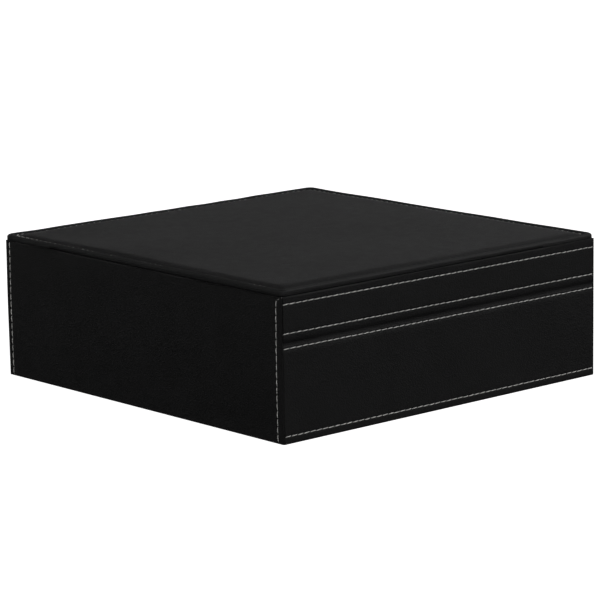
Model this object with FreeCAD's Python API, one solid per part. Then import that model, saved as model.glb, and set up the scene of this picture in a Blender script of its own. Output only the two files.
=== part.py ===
import FreeCAD, Part
import os

# Drop-front card chest: a low, nearly square tray of leather-covered board, with a padded
# lid hinged along the back and an upper front strip that folds down on a leather crease.
# Millimetres. Origin at the bottom centre, +Z up, -Y the front, -X the left side.

# Overall sizes
BOX_WIDTH = 295.0
BOX_DEPTH = 303.0
BOX_HEIGHT = 102.0          # floor to the rim of the closed lid
CREASE_DROP = 33.8          # lid rim down to the middle of the front crease

# Layers of a wall panel, from outside to inside
LEATHER = 1.0
WALL_BOARD = 2.9
SUEDE = 0.8
BOTTOM_LEATHER = 0.9
BASE_BOARD = 3.0

# Layers of the lid slab, from the underside up
LID_SUEDE = 0.7
LID_BOARD = 1.4
LID_FOAM = 1.0              # under the padded panel only
LID_TOP_LEATHER = 0.7       # over the foam
LID_RIM_LEATHER = 1.1       # over the board, round the padded panel
LID_EDGE_LEATHER = 1.0
PAD_INSET = 7.0             # width of the rim outside the padded panel

# Leather folded over an edge and down or across the inside
TURN_IN = 12.0

# Roundings
LID_CORNER_R = 3.0
LID_TOP_R = 1.3
LID_BOTTOM_R = 0.6
PAD_CORNER_R = 6.0
WALL_TOP_OUTER_R = 2.4
WALL_TOP_INNER_R = 1.2
FRONT_TOP_R = 1.5

# Clearances
LID_GAP = 0.6               # walls to the underside of the lid
FLAP_SIDE_GAP = 0.4         # each end of the flap to the side wing beside it
FLAP_BACK_GAP = 0.3         # flap to the ends of the side walls and partitions
CREASE_GAP = 0.6            # flap to the fixed panel, across the crease
WING_SETBACK = 0.4          # side wings behind the front and back faces
HINGE_OFFSET = 0.4          # fold lines outside the faces that they join

# Crease: the boards stop short of it so that the leather can bend
CREASE_HALF = 4.9

# Leather strip across the back that joins the lid
LID_HINGE_LEATHER = 0.8
LID_HINGE_DROP = 22.0

# Magnets in the lid and steel plates in the flap
MAGNET_R = 6.0
MAGNET_FIT = 0.1            # round each magnet, and above it in the board
MAGNET_FROM_CENTRE = 95.0
MAGNET_FROM_FRONT = 16.0
PLATE_LENGTH = 30.0
PLATE_HEIGHT = 8.0
PLATE_THICK = 1.0
PLATE_FIT = 0.1
PLATE_BELOW_TOP = 1.0

# Lanes for upright cards
LANES = 4
PARTITION = 2.4
PARTITION_BELOW_LID = 8.1
PARTITION_NOSE_R = 26.0     # front top corner swept away for the fingers
DIVIDER_THICK = 1.6
DIVIDER_BELOW_LID = 9.7
DIVIDER_SIDE_GAP = 0.6
DIVIDER_FLOOR_GAP = 0.4
DIVIDER_CORNER_R = 6.0
NOTCH_R = 13.0
DIVIDER_FROM_BACK = 36.0    # free space behind each divider where it stands

# Derived places
HALF_W = BOX_WIDTH / 2
HALF_D = BOX_DEPTH / 2
PANEL = LEATHER + WALL_BOARD + SUEDE
LID_BOTTOM_Z = BOX_HEIGHT - LID_SUEDE - LID_BOARD - LID_RIM_LEATHER
PAD_RISE = LID_FOAM + LID_TOP_LEATHER - LID_RIM_LEATHER
MAGNET_THICK = LID_BOARD - MAGNET_FIT
WALL_TOP_Z = LID_BOTTOM_Z - LID_GAP
CREASE_Z = BOX_HEIGHT - CREASE_DROP
FLAP_BOTTOM_Z = CREASE_Z + CREASE_GAP / 2
FRONT_TOP_Z = CREASE_Z - CREASE_GAP / 2
FLOOR_Z = BOTTOM_LEATHER + BASE_BOARD + SUEDE
BASE_TOP_Z = BOTTOM_LEATHER + BASE_BOARD
INNER_X = HALF_W - PANEL
SKIN_X = HALF_W - LEATHER
FRONT_Y = -HALF_D
FRONT_INNER_Y = FRONT_Y + PANEL
BACK_Y = HALF_D - LID_HINGE_LEATHER
BACK_INNER_Y = BACK_Y - PANEL
SIDE_FRONT_Y = FRONT_INNER_Y + FLAP_BACK_GAP
LANE_WIDTH = (2 * INNER_X - (LANES - 1) * PARTITION) / LANES


def block(x0, x1, y0, y1, z0, z1):
    """Box between two opposite corners."""
    return Part.makeBox(x1 - x0, y1 - y0, z1 - z0, FreeCAD.Vector(x0, y0, z0))


def edges_along(shape, axis, **at):
    """Straight edges parallel to an axis whose middles lie at the given coordinates."""
    found = []
    for edge in shape.Edges:
        if len(edge.Vertexes) != 2:
            continue
        start, end = edge.Vertexes[0].Point, edge.Vertexes[1].Point
        span = {"x": abs(end.x - start.x), "y": abs(end.y - start.y), "z": abs(end.z - start.z)}
        if any(span[other] > 1e-6 for other in "xyz" if other != axis):
            continue
        middle = (start + end) * 0.5
        places = {"x": middle.x, "y": middle.y, "z": middle.z}
        if all(abs(places[key] - value) < 1e-6 for key, value in at.items()):
            found.append(edge)
    return found


def round_edges(shape, radius, axis, **at):
    """Round the straight edges parallel to an axis at the given coordinates."""
    return shape.makeFillet(radius, edges_along(shape, axis, **at))


def slab(half_x, y0, y1, z0, z1, corner_r):
    """Flat plate, centred across the width, with rounded vertical corners."""
    return round_edges(block(-half_x, half_x, y0, y1, z0, z1), corner_r, "z")


def rim_edges(shape, z):
    """All edges that lie in the plane at a height."""
    return [edge for edge in shape.Edges
            if abs(edge.BoundBox.ZMin - z) < 1e-6 and abs(edge.BoundBox.ZMax - z) < 1e-6]


def mirror_x(shape):
    """The same piece on the other side of the box."""
    return shape.mirror(FreeCAD.Vector(0, 0, 0), FreeCAD.Vector(1, 0, 0))


# ---------------------------------------------------------------- base

def make_bottom_cover():
    """Leather under the whole tray, inside the outer skins of the walls."""
    return block(-SKIN_X, SKIN_X, FRONT_Y + LEATHER, BACK_Y - LEATHER, 0, BOTTOM_LEATHER)


def make_base_board():
    """Stiff board between the wall boards."""
    return block(-INNER_X, INNER_X, FRONT_INNER_Y, BACK_INNER_Y, BOTTOM_LEATHER, BASE_TOP_Z)


def make_floor_lining():
    """Suede on the base board."""
    return block(-INNER_X, INNER_X, FRONT_INNER_Y, BACK_INNER_Y, BASE_TOP_Z, FLOOR_Z)


# ---------------------------------------------------------------- side walls

def make_side_board():
    """Board of the left wall, leather-covered at both ends and on top."""
    return block(-SKIN_X, -SKIN_X + WALL_BOARD, SIDE_FRONT_Y + LEATHER, BACK_INNER_Y,
                 BOTTOM_LEATHER, WALL_TOP_Z - LEATHER)


def make_side_lining():
    """Suede on the inside of the left wall, below the turned-in leather."""
    return block(-INNER_X - SUEDE, -INNER_X, SIDE_FRONT_Y + TURN_IN, BACK_INNER_Y,
                 BOTTOM_LEATHER, WALL_TOP_Z - TURN_IN)


def make_side_cover():
    """Leather of the left wall. Its outer skin runs on past the wall as a wing at each end."""
    front = FRONT_Y + WING_SETBACK
    back = BACK_Y - WING_SETBACK
    wall = block(-HALF_W, -INNER_X, front, back, 0, WALL_TOP_Z)
    wall = round_edges(wall, WALL_TOP_INNER_R, "y", x=-INNER_X, z=WALL_TOP_Z)
    wall = round_edges(wall, WALL_TOP_OUTER_R, "y", x=-HALF_W, z=WALL_TOP_Z)
    front_room = block(-SKIN_X, -INNER_X, front, SIDE_FRONT_Y, 0, BOX_HEIGHT)
    back_room = block(-SKIN_X, -INNER_X, BACK_INNER_Y, back, 0, BOX_HEIGHT)
    under = block(-SKIN_X, -INNER_X, front, back, 0, BOTTOM_LEATHER)
    for room in (front_room, back_room, under, make_side_board(), make_side_lining()):
        wall = wall.cut(room)
    return wall.removeSplitter()


# ---------------------------------------------------------------- back wall

def make_back_board():
    """Board of the back wall, covered on top."""
    return block(-SKIN_X, SKIN_X, BACK_INNER_Y + SUEDE, BACK_Y - LEATHER,
                 BOTTOM_LEATHER, WALL_TOP_Z - LEATHER)


def make_back_lining():
    """Suede on the inside of the back wall, below the turned-in leather."""
    return block(-SKIN_X, SKIN_X, BACK_INNER_Y, BACK_INNER_Y + SUEDE,
                 BOTTOM_LEATHER, WALL_TOP_Z - TURN_IN)


def make_back_cover():
    """Leather of the back wall, between the two wings."""
    wall = block(-SKIN_X, SKIN_X, BACK_INNER_Y, BACK_Y, 0, WALL_TOP_Z)
    wall = round_edges(wall, WALL_TOP_INNER_R, "x", y=BACK_INNER_Y, z=WALL_TOP_Z)
    under = block(-SKIN_X, SKIN_X, BACK_INNER_Y, BACK_Y - LEATHER, 0, BOTTOM_LEATHER)
    for room in (under, make_back_board(), make_back_lining()):
        wall = wall.cut(room)
    return wall.removeSplitter()


def make_lid_hinge():
    """Leather strip on the outside of the back wall, up to the fold line of the lid."""
    return block(-SKIN_X, SKIN_X, BACK_Y, HALF_D, WALL_TOP_Z - LID_HINGE_DROP, WALL_TOP_Z)


# ---------------------------------------------------------------- front wall and its flap

def make_front_board():
    """Board of the fixed lower front, stopping short of the crease."""
    return block(-SKIN_X, SKIN_X, FRONT_Y + LEATHER, FRONT_INNER_Y - SUEDE,
                 BOTTOM_LEATHER, CREASE_Z - CREASE_HALF)


def make_front_cover():
    """Leather of the fixed lower front, up to where the crease band begins."""
    return block(-SKIN_X, SKIN_X, FRONT_Y, FRONT_Y + LEATHER, 0, CREASE_Z - CREASE_HALF)


def make_front_lining():
    """Suede on the inside of the fixed lower front."""
    return block(-SKIN_X, SKIN_X, FRONT_INNER_Y - SUEDE, FRONT_INNER_Y,
                 BOTTOM_LEATHER, FRONT_TOP_Z)


def make_front_hinge():
    """Leather band that bends at the crease, backed by the lining behind it."""
    return block(-SKIN_X, SKIN_X, FRONT_Y, FRONT_INNER_Y - SUEDE,
                 CREASE_Z - CREASE_HALF, FRONT_TOP_Z)


def make_keeper_plate(x):
    """Steel plate in the top edge of the flap, in front of a lid magnet."""
    middle_y = FRONT_Y + LEATHER + WALL_BOARD / 2
    top = WALL_TOP_Z - LEATHER - PLATE_BELOW_TOP
    return block(x - PLATE_LENGTH / 2, x + PLATE_LENGTH / 2,
                 middle_y - PLATE_THICK / 2, middle_y + PLATE_THICK / 2,
                 top - PLATE_HEIGHT, top)


def make_flap_keepers():
    """The two keeper plates."""
    return Part.makeCompound([make_keeper_plate(side * MAGNET_FROM_CENTRE) for side in (-1, 1)])


def make_flap_board_blank():
    """Flap board before its slots are cut."""
    half = SKIN_X - FLAP_SIDE_GAP - LEATHER
    return block(-half, half, FRONT_Y + LEATHER, FRONT_INNER_Y - SUEDE,
                 CREASE_Z + CREASE_HALF, WALL_TOP_Z - LEATHER)


def make_flap_board():
    """Flap board with an open-topped slot for each keeper plate."""
    board = make_flap_board_blank()
    middle_y = FRONT_Y + LEATHER + WALL_BOARD / 2
    half_slot = PLATE_THICK / 2 + PLATE_FIT
    top = WALL_TOP_Z - LEATHER
    for side in (-1, 1):
        x = side * MAGNET_FROM_CENTRE
        reach = PLATE_LENGTH / 2 + PLATE_FIT
        slot = block(x - reach, x + reach, middle_y - half_slot, middle_y + half_slot,
                     top - PLATE_BELOW_TOP - PLATE_HEIGHT, top)
        board = board.cut(slot)
    return board


def make_flap_lining():
    """Suede on the inside of the flap, below the turned-in leather."""
    half = SKIN_X - FLAP_SIDE_GAP - LEATHER
    return block(-half, half, FRONT_INNER_Y - SUEDE, FRONT_INNER_Y,
                 FLAP_BOTTOM_Z, WALL_TOP_Z - TURN_IN)


def make_flap_cover():
    """Leather round the flap, one piece down to the crease."""
    half = SKIN_X - FLAP_SIDE_GAP
    flap = block(-half, half, FRONT_Y, FRONT_INNER_Y, FLAP_BOTTOM_Z, WALL_TOP_Z)
    flap = round_edges(flap, FRONT_TOP_R, "x", y=FRONT_Y, z=WALL_TOP_Z)
    flap = round_edges(flap, FRONT_TOP_R, "x", y=FRONT_INNER_Y, z=WALL_TOP_Z)
    return flap.cut(make_flap_board_blank()).cut(make_flap_lining()).removeSplitter()


# ---------------------------------------------------------------- lid

def make_lid_lining():
    """Suede under the lid, inside the turned-in leather."""
    return block(-HALF_W + TURN_IN, HALF_W - TURN_IN, -HALF_D + TURN_IN, HALF_D - TURN_IN,
                 LID_BOTTOM_Z, LID_BOTTOM_Z + LID_SUEDE)


def magnet_places():
    """Centres of the lid magnets, above the keeper plates."""
    return [(side * MAGNET_FROM_CENTRE, -HALF_D + MAGNET_FROM_FRONT) for side in (-1, 1)]


def make_lid_magnets():
    """Disc magnets let into the lid board."""
    low = LID_BOTTOM_Z + LID_SUEDE
    discs = [Part.makeCylinder(MAGNET_R, MAGNET_THICK, FreeCAD.Vector(x, y, low))
             for x, y in magnet_places()]
    return Part.makeCompound(discs)


def make_lid_board_blank():
    """Lid board before its magnet holes are cut."""
    low = LID_BOTTOM_Z + LID_SUEDE
    half_x = HALF_W - LID_EDGE_LEATHER
    half_y = HALF_D - LID_EDGE_LEATHER
    return slab(half_x, -half_y, half_y, low, low + LID_BOARD, LID_CORNER_R - LID_EDGE_LEATHER)


def make_lid_board():
    """Lid board with a round hole for each magnet."""
    board = make_lid_board_blank()
    low = LID_BOTTOM_Z + LID_SUEDE
    for x, y in magnet_places():
        hole = Part.makeCylinder(MAGNET_R + MAGNET_FIT, LID_BOARD, FreeCAD.Vector(x, y, low))
        board = board.cut(hole)
    return board


def make_lid_foam():
    """Thin foam on the lid board, under the padded panel."""
    low = LID_BOTTOM_Z + LID_SUEDE + LID_BOARD
    inset = PAD_INSET + LID_TOP_LEATHER
    return slab(HALF_W - inset, -HALF_D + inset, HALF_D - inset, low, low + LID_FOAM,
                PAD_CORNER_R - LID_TOP_LEATHER)


def make_lid_cover():
    """Leather over the lid: padded panel, rim, edges and the part turned in underneath."""
    rim = slab(HALF_W, -HALF_D, HALF_D, LID_BOTTOM_Z, BOX_HEIGHT, LID_CORNER_R)
    rim = rim.makeFillet(LID_TOP_R, rim_edges(rim, BOX_HEIGHT))
    rim = rim.makeFillet(LID_BOTTOM_R, rim_edges(rim, LID_BOTTOM_Z))
    pad = slab(HALF_W - PAD_INSET, -HALF_D + PAD_INSET, HALF_D - PAD_INSET,
               BOX_HEIGHT - LID_TOP_LEATHER, BOX_HEIGHT + PAD_RISE, PAD_CORNER_R)
    pad = pad.makeFillet(PAD_RISE * 0.9, rim_edges(pad, BOX_HEIGHT + PAD_RISE))
    lid = rim.fuse(pad)
    for room in (make_lid_lining(), make_lid_board_blank(), make_lid_foam()):
        lid = lid.cut(room)
    return lid.removeSplitter()


# ---------------------------------------------------------------- lanes

def partition_x(index):
    """Middle of a lane partition, counted from the left."""
    return -INNER_X + (index + 1) * LANE_WIDTH + (index + 0.5) * PARTITION


def lane_x(index):
    """Middle of a lane, counted from the left."""
    return -INNER_X + (index + 0.5) * LANE_WIDTH + index * PARTITION


def make_partition(index):
    """Suede-covered wall between two lanes, with its front top corner swept away."""
    x0 = partition_x(index) - PARTITION / 2
    front = FRONT_INNER_Y + FLAP_BACK_GAP
    top = LID_BOTTOM_Z - PARTITION_BELOW_LID
    wall = block(x0, x0 + PARTITION, front, BACK_INNER_Y, FLOOR_Z, top)
    return round_edges(wall, PARTITION_NOSE_R, "x", y=front, z=top)


def make_divider(index):
    """Loose card divider that slides along its lane, with a finger notch in its top."""
    half = LANE_WIDTH / 2 - DIVIDER_SIDE_GAP
    x = lane_x(index)
    y = BACK_INNER_Y - DIVIDER_FROM_BACK - DIVIDER_THICK / 2
    low = FLOOR_Z + DIVIDER_FLOOR_GAP
    top = LID_BOTTOM_Z - DIVIDER_BELOW_LID
    plate = block(x - half, x + half, y - DIVIDER_THICK / 2, y + DIVIDER_THICK / 2, low, top)
    for side in (-1, 1):
        plate = round_edges(plate, DIVIDER_CORNER_R, "y", x=x + side * half, z=top)
    notch = Part.makeCylinder(NOTCH_R, 2 * DIVIDER_THICK, FreeCAD.Vector(x, y - DIVIDER_THICK, top),
                              FreeCAD.Vector(0, 1, 0))
    return plate.cut(notch)


def all_parts():
    """Every piece by name."""
    parts = {
        "bottom_cover": make_bottom_cover(),
        "base_board": make_base_board(),
        "floor_lining": make_floor_lining(),
        "left_wall_board": make_side_board(),
        "left_wall_lining": make_side_lining(),
        "left_wall_cover": make_side_cover(),
        "right_wall_board": mirror_x(make_side_board()),
        "right_wall_lining": mirror_x(make_side_lining()),
        "right_wall_cover": mirror_x(make_side_cover()),
        "back_wall_board": make_back_board(),
        "back_wall_lining": make_back_lining(),
        "back_wall_cover": make_back_cover(),
        "lid_hinge_leather": make_lid_hinge(),
        "front_panel_board": make_front_board(),
        "front_panel_cover": make_front_cover(),
        "front_panel_lining": make_front_lining(),
        "front_crease_leather": make_front_hinge(),
        "flap_board": make_flap_board(),
        "flap_cover": make_flap_cover(),
        "flap_lining": make_flap_lining(),
        "flap_keeper_plates": make_flap_keepers(),
        "lid_board": make_lid_board(),
        "lid_foam": make_lid_foam(),
        "lid_cover": make_lid_cover(),
        "lid_lining": make_lid_lining(),
        "lid_magnets": make_lid_magnets(),
    }
    for index in range(LANES - 1):
        parts[f"lane_partition_{index + 1}"] = make_partition(index)
    for index in range(LANES):
        parts[f"card_divider_{index + 1}"] = make_divider(index)
    return parts


os.makedirs("parts", exist_ok=True)
for name, shape in all_parts().items():
    shape.exportStep(f"parts/{name}.step")
    print(name, len(shape.Solids), round(shape.Volume, 1), shape.isValid())
print("axis of the lid: y", HALF_D + HINGE_OFFSET, "z", WALL_TOP_Z + LID_GAP / 2)
print("axis of the flap: y", FRONT_Y - HINGE_OFFSET, "z", CREASE_Z)
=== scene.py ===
import math

import bpy
import numpy as np
from mathutils import Matrix, Vector


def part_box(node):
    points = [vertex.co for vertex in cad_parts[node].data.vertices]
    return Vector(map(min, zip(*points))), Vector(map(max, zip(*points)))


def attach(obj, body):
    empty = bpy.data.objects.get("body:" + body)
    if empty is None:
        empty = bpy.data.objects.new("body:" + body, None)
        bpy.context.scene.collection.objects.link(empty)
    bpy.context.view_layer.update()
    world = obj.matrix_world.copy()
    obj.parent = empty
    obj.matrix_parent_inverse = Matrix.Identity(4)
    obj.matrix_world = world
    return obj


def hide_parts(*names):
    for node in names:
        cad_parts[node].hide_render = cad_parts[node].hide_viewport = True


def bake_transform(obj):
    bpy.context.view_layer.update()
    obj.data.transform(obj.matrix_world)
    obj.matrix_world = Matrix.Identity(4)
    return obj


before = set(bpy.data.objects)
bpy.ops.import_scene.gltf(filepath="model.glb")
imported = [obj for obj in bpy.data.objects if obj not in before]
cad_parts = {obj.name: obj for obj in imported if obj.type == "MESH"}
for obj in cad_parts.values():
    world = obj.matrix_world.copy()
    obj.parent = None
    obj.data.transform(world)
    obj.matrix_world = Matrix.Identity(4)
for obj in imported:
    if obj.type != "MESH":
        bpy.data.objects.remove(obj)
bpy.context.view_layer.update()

MM = 0.001

# ------------------------------ sizes from the frame, in mm


def span(node):
    """Lowest and highest corner of a CAD node, in mm."""
    low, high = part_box(node)
    return np.array(low) / MM, np.array(high) / MM


LID_LOW, LID_HIGH = span("lid_cover")
WALL_LOW, WALL_HIGH = span("left_wall_cover")
SIDE_LINING = span("left_wall_lining")
FRONT_LINING = span("front_panel_lining")
FLAP_LOW, FLAP_HIGH = span("flap_cover")
FLAP_LINING = span("flap_lining")
BACK_LOW, BACK_HIGH = span("back_wall_cover")
BACK_LINING = span("back_wall_lining")
HINGE_LOW, HINGE_HIGH = span("lid_hinge_leather")
FLOOR_LOW, FLOOR_HIGH = span("floor_lining")
BASE_LOW, BASE_HIGH = span("bottom_cover")
LID_LINING = span("lid_lining")
SIDE_BOARD = span("left_wall_board")

HALF_W = LID_HIGH[0]
HALF_D = LID_HIGH[1]
WALL_TOP = WALL_HIGH[2]
PANEL = FLAP_HIGH[1] - FLAP_LOW[1]
SKIN = HALF_W - BASE_HIGH[0]
CREASE_Z = (FRONT_LINING[1][2] + FLAP_LOW[2]) / 2       # the fold line of the flap
FLAP_TURN_Z = FLAP_LINING[1][2]
WALL_TURN_Z = SIDE_LINING[1][2]

TOP_Z = WALL_TOP - 0.22     # the leather of the walls ends a little low, under the lip of the lid
RECESS = 0.55               # inside a wall, its leather lies this far behind the face of the lining
INNER_R = 1.3               # radius of a wall's inner top edge

# ------------------------------ stitching, in mm

ROW_START = FLAP_LOW[0] + 0.1
ROW_STITCHES = 54           # in a row across the front
PITCH = -2 * ROW_START / ROW_STITCHES
THREAD_R = 0.28
STITCH_SHARE = 0.88         # of the pitch, the rest is the gap between two stitches
STITCH_SLANT = 0.16         # the ends of a stitch lie this far off the row, on opposite sides
ARCH, DIVE = 1.25, 0.75     # how far a stitch arches up and its ends sink, in thread radii
END_SIZE = 0.55             # thickness of its ends, as a share of the middle
PLY_DEPTH, PLY_TURN = 0.16, 3.2     # the two plies: depth of the groove and turn along a stitch
ROW_1 = WALL_TOP - 5.2      # hem below the top edge of the flap
ROW_2 = CREASE_Z + 5.3
ROW_3 = CREASE_Z - 4.6
ROW_4 = 5.2                 # hem above the bottom edge
SIDE_SEAM = 6.0             # upright seam of a side wall, from its end
LID_SEAM = 5.0              # seam round the lid, from its edge
HOLE_DEPTH = 0.38           # of a needle hole, below its channel


def fitted(length):
    """Stitch length near PITCH that fits a whole number of times."""
    return length / max(1, round(length / PITCH))


def bell(distance, width):
    """1 in the middle, falling to 0 on both sides."""
    return np.exp(-((distance / width) ** 2))


def dimple(across, along, depth=0.2, width=0.9, pitch=PITCH):
    """Depth of the channel that a row of stitches pulls into the leather, deepest at its holes."""
    phase = 2 * np.pi * along / pitch
    channel = depth * (0.72 + 0.28 * np.cos(phase)) * bell(across, width)
    to_hole = np.abs((along / pitch + 0.5) % 1 - 0.5) * pitch
    return channel + HOLE_DEPTH * bell(across, 0.42) * bell(to_hole, 0.5)


def waves(u, v, seed, size=60.0, amount=0.12):
    """Gentle unevenness: a few long sine waves across a surface."""
    local = np.random.default_rng(seed)
    total = np.zeros(np.broadcast(u, v).shape)
    for k in range(7):
        angle = local.uniform(0, 2 * np.pi)
        length = size * local.uniform(0.5, 1.8)
        phase = local.uniform(0, 2 * np.pi)
        total = total + np.sin(2 * np.pi * (u * np.cos(angle) + v * np.sin(angle)) / length + phase)
    return amount * total / 3.0


def corner_shares(x, y):
    """How near a place is to the right near, left far and right far corner, from 0 to 1."""
    u, v = np.clip(x / HALF_W, -1, 1), np.clip(y / HALF_D, -1, 1)
    left, right, near, far = (1 - u) / 2, (1 + u) / 2, (1 - v) / 2, (1 + v) / 2
    return right * near, left * far, right * far


def rise(x, y):
    """How far the top of the lid stands up: a little at the far corners."""
    right_near, left_far, right_far = corner_shares(x, y)
    return 0.1 * right_near + 0.5 * left_far + 0.6 * right_far


def gap_rise(x, y):
    """How far the gap under the lid stands up: a little at three corners, not at the near one."""
    return 1.15 * sum(corner_shares(x, y))


def raised(points):
    """Points of a wall, with its top edge following the lid."""
    points = np.array(points, float)
    share = np.clip((points[:, 2] - TOP_Z + 4.2) / 3.8, 0, 1)       # grows over the highest few mm
    points[:, 2] += gap_rise(points[:, 0], points[:, 1]) * share
    return points


# ------------------------------ node materials


def shader(name):
    """A new material, its node tree and the inputs of its Principled shader."""
    material = bpy.data.materials.new(name)
    material.use_nodes = True
    tree = material.node_tree
    return material, tree, tree.nodes["Principled BSDF"].inputs


def coordinates(tree):
    """Place on the object, in metres."""
    node = tree.nodes.new("ShaderNodeTexCoord")
    return node.outputs["Object"]


def noise(tree, vector, scale, detail=3.0, roughness=0.55):
    """Cloudy noise. scale is in waves a metre."""
    node = tree.nodes.new("ShaderNodeTexNoise")
    node.inputs["Scale"].default_value = scale
    node.inputs["Detail"].default_value = detail
    node.inputs["Roughness"].default_value = roughness
    tree.links.new(vector, node.inputs["Vector"])
    return node.outputs["Fac"]


def voronoi(tree, vector, scale):
    """Distance to the nearest of many scattered points, for pebbled grain."""
    node = tree.nodes.new("ShaderNodeTexVoronoi")
    node.inputs["Scale"].default_value = scale
    tree.links.new(vector, node.inputs["Vector"])
    return node.outputs["Distance"]


def spread(tree, value, low, high, to_low, to_high):
    """Maps a value from one range to another."""
    node = tree.nodes.new("ShaderNodeMapRange")
    node.inputs["From Min"].default_value = low
    node.inputs["From Max"].default_value = high
    node.inputs["To Min"].default_value = to_low
    node.inputs["To Max"].default_value = to_high
    tree.links.new(value, node.inputs["Value"])
    return node.outputs["Result"]


def tint(tree, value, dark, light):
    """Colour between two, by a value from 0 to 1."""
    node = tree.nodes.new("ShaderNodeMix")
    node.data_type = "RGBA"
    node.inputs["A"].default_value = (*dark, 1)
    node.inputs["B"].default_value = (*light, 1)
    tree.links.new(value, node.inputs["Factor"])
    return node.outputs["Result"]


def mottle(tree, value, dark, light):
    """Colour between two, by a noise that lies mostly between 0.3 and 0.7."""
    return tint(tree, spread(tree, value, 0.3, 0.7, 0.0, 1.0), dark, light)


def bump(tree, height, distance, strength=1.0, below=None):
    """Bump from a height, on top of another bump."""
    node = tree.nodes.new("ShaderNodeBump")
    node.inputs["Distance"].default_value = distance
    node.inputs["Strength"].default_value = strength
    tree.links.new(height, node.inputs["Height"])
    if below is not None:
        tree.links.new(below, node.inputs["Normal"])
    return node.outputs["Normal"]


def leather_material(name, dark, light, rough_low, rough_high, specular, grain=1.0):
    """Black artificial leather: pebbled grain, fine pores, faint long creases."""
    material, tree, inputs = shader(name)
    where = coordinates(tree)
    blotch = noise(tree, where, 35.0, 4.0)
    tree.links.new(mottle(tree, blotch, dark, light), inputs["Base Color"])
    patch = noise(tree, where, 160.0, 5.0, 0.6)
    roughness = spread(tree, patch, 0.3, 0.7, rough_low, rough_high)
    tree.links.new(roughness, inputs["Roughness"])
    inputs["Specular IOR Level"].default_value = specular
    creases = bump(tree, noise(tree, where, 90.0, 3.0), 0.0006, 0.015)
    pebbles = bump(tree, voronoi(tree, where, 1150.0), 0.00015 * grain, 0.8, creases)
    pores = bump(tree, noise(tree, where, 4200.0, 2.0), 0.00006 * grain, 0.8, pebbles)
    tree.links.new(pores, inputs["Normal"])
    return material


def suede_material(name, dark, light):
    """Short-napped microsuede: brushed patches over a fine felted surface."""
    material, tree, inputs = shader(name)
    where = coordinates(tree)
    nap = noise(tree, where, 60.0, 5.0, 0.65)
    fibre = noise(tree, where, 2600.0, 2.0)
    mix = tree.nodes.new("ShaderNodeMath")
    mix.operation = "MULTIPLY_ADD"
    mix.inputs[1].default_value = 0.35
    tree.links.new(fibre, mix.inputs[0])
    tree.links.new(nap, mix.inputs[2])
    colour = tint(tree, spread(tree, mix.outputs[0], 0.4, 0.95, 0.0, 1.0), dark, light)
    tree.links.new(colour, inputs["Base Color"])
    inputs["Roughness"].default_value = 0.95
    inputs["Specular IOR Level"].default_value = 0.15
    inputs["Sheen Weight"].default_value = 0.25
    inputs["Sheen Roughness"].default_value = 0.5
    long_nap = bump(tree, nap, 0.0006, 0.3)
    tree.links.new(bump(tree, fibre, 0.00025, 0.9, long_nap), inputs["Normal"])
    return material


def thread_material():
    """Waxed off-white polyester thread."""
    material, tree, inputs = shader("stitch_thread")
    where = coordinates(tree)
    soil = noise(tree, where, 220.0, 3.0)
    colour = mottle(tree, soil, (0.84, 0.83, 0.80), (0.93, 0.92, 0.89))
    tree.links.new(colour, inputs["Base Color"])
    inputs["Roughness"].default_value = 0.62
    inputs["Specular IOR Level"].default_value = 0.3
    fibres = noise(tree, where, 6500.0, 2.0)
    tree.links.new(bump(tree, fibres, 0.0001, 0.7), inputs["Normal"])
    return material


def plastic_material():
    """Frosted black sheet, as card dividers are cut from."""
    material, tree, inputs = shader("divider_sheet")
    where = coordinates(tree)
    frost = noise(tree, where, 1500.0, 3.0)
    cloud = noise(tree, where, 40.0, 3.0)
    colour = mottle(tree, cloud, (0.018, 0.018, 0.019), (0.026, 0.026, 0.027))
    tree.links.new(colour, inputs["Base Color"])
    tree.links.new(spread(tree, frost, 0.3, 0.7, 0.42, 0.6), inputs["Roughness"])
    tree.links.new(bump(tree, frost, 0.00008, 0.6), inputs["Normal"])
    return material


def board_material():
    """Grey bookbinding board: pressed fibres."""
    material, tree, inputs = shader("grey_board")
    where = coordinates(tree)
    fibre = noise(tree, where, 900.0, 5.0, 0.7)
    colour = mottle(tree, fibre, (0.22, 0.21, 0.19), (0.34, 0.33, 0.30))
    tree.links.new(colour, inputs["Base Color"])
    inputs["Roughness"].default_value = 0.9
    tree.links.new(bump(tree, fibre, 0.0001, 0.6), inputs["Normal"])
    return material


def metal_material(name, colour, rough_low, rough_high):
    """Plated or rolled metal with fine scratches."""
    material, tree, inputs = shader(name)
    where = coordinates(tree)
    scratch = noise(tree, where, 1800.0, 4.0)
    shade = mottle(tree, scratch, tuple(0.85 * c for c in colour), colour)
    tree.links.new(shade, inputs["Base Color"])
    inputs["Metallic"].default_value = 1.0
    roughness = spread(tree, scratch, 0.3, 0.7, rough_low, rough_high)
    tree.links.new(roughness, inputs["Roughness"])
    return material


LEATHER = leather_material("black_leather", (0.0075, 0.0075, 0.0078), (0.0105, 0.0105, 0.0109),
                           0.455, 0.505, 0.32)
LEATHER_BASE = leather_material("base_leather", (0.013, 0.013, 0.0135), (0.019, 0.019, 0.0195),
                                0.6, 0.75, 0.4, 1.4)
SUEDE_BLACK = suede_material("black_suede", (0.010, 0.010, 0.011), (0.020, 0.020, 0.021))
THREAD = thread_material()
PLASTIC = plastic_material()
BOARD = board_material()
STEEL = metal_material("rolled_steel", (0.55, 0.55, 0.56), 0.25, 0.4)
NICKEL = metal_material("nickel_plate", (0.68, 0.66, 0.62), 0.12, 0.25)

# ------------------------------ mesh building


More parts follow.
